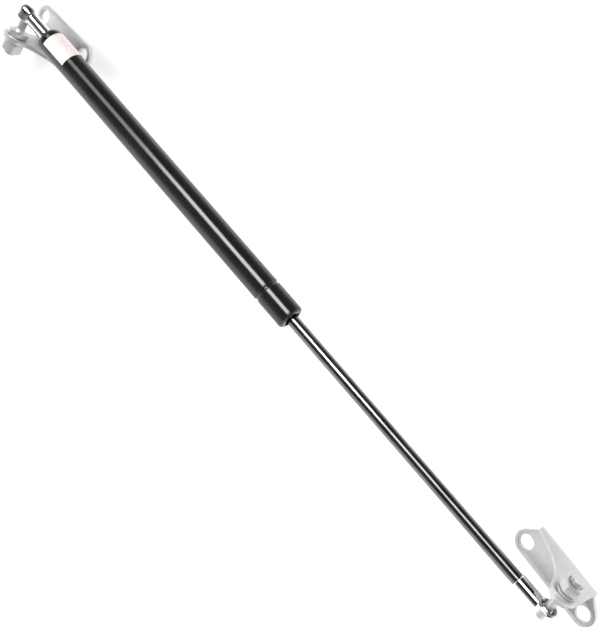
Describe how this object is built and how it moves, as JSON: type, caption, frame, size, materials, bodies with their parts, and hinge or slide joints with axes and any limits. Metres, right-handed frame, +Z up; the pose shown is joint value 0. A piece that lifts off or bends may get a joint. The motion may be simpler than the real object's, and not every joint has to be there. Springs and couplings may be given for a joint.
{
  "type": "gas strut stay",
  "caption": "Gas spring stay: a black cylinder with a sliding, spinning rod, and at each end a ball joint whose stud is bolted through a bent angle bracket.",
  "frame": {"origin": "under the middle of the outer box, on the surface the part lies on", "axes": "+X along the strut from the cylinder's ball joint to the rod's, +Z up from the surface, Y completes a right-handed frame"},
  "size_m": [0.5476, 0.0612, 0.0578],
  "materials": {
    "tube_paint": "gloss black enamel",
    "label_paper": "printed label with a satin surface",
    "rod_nitride": "polished black nitride",
    "chrome": "polished plating",
    "zinc": "satin zinc plate",
    "steel": "bright steel",
    "bronze": "sintered bearing bronze",
    "rubber": "black nitrile rubber",
    "piston_plastic": "moulded nylon"
  },
  "bodies": {
    "cylinder": {"cylinder_tube": "tube_paint", "end_plug": "steel", "rod_guide": "bronze", "rod_seal": "rubber", "seal_washer": "steel", "label": "label_paper", "tube_socket": "chrome", "tube_snap_ring": "steel"},
    "piston_ring": {"piston_ring": "rubber"},
    "rod": {"piston_rod": "rod_nitride", "piston": "piston_plastic", "piston_washer_front": "steel", "piston_washer_rear": "steel", "rod_socket": "chrome", "rod_snap_ring": "steel"},
    "tube_ball": {"tube_ball": "steel"},
    "tube_bracket": {"tube_ball_stud": "zinc", "tube_stud_washer": "zinc", "tube_stud_nut": "zinc", "tube_bracket": "zinc"},
    "rod_ball": {"rod_ball": "steel"},
    "rod_bracket": {"rod_ball_stud": "zinc", "rod_stud_washer": "zinc", "rod_stud_nut": "zinc", "rod_bracket": "zinc"}
  },
  "joints": [
    {"name": "rod_stroke", "type": "slide", "parent": "cylinder", "child": "piston_ring", "axis": [1, 0, 0], "range_m": [-0.19, 0], "stiffness_N_per_m": 290, "springref_m": 0.52},
    {"name": "rod_spin", "type": "hinge", "parent": "piston_ring", "child": "rod", "pos_m": [0, -0.00449, 0.03286], "axis": [1, 0, 0], "continuous": true},
    {"name": "tube_ball_tilt", "type": "hinge", "parent": "cylinder", "child": "tube_ball", "pos_m": [-0.25895, -0.00449, 0.03286], "axis": [0, -0.6157, 0.788], "range_deg": [-26, 10]},
    {"name": "tube_bracket_swivel", "type": "hinge", "parent": "tube_ball", "child": "tube_bracket", "pos_m": [-0.25895, -0.00449, 0.03286], "axis": [-0.1392, 0.7803, 0.6097], "range_deg": [-4, 216]},
    {"name": "rod_ball_tilt", "type": "hinge", "parent": "rod", "child": "rod_ball", "pos_m": [0.24905, -0.00449, 0.03286], "axis": [0, -0.7193, 0.6947], "range_deg": [-21, 15]},
    {"name": "rod_bracket_swivel", "type": "hinge", "parent": "rod_ball", "child": "rod_bracket", "pos_m": [0.24905, -0.00449, 0.03286], "axis": [0.0523, -0.6937, -0.7184], "range_deg": [-26, 194]}
  ]
}
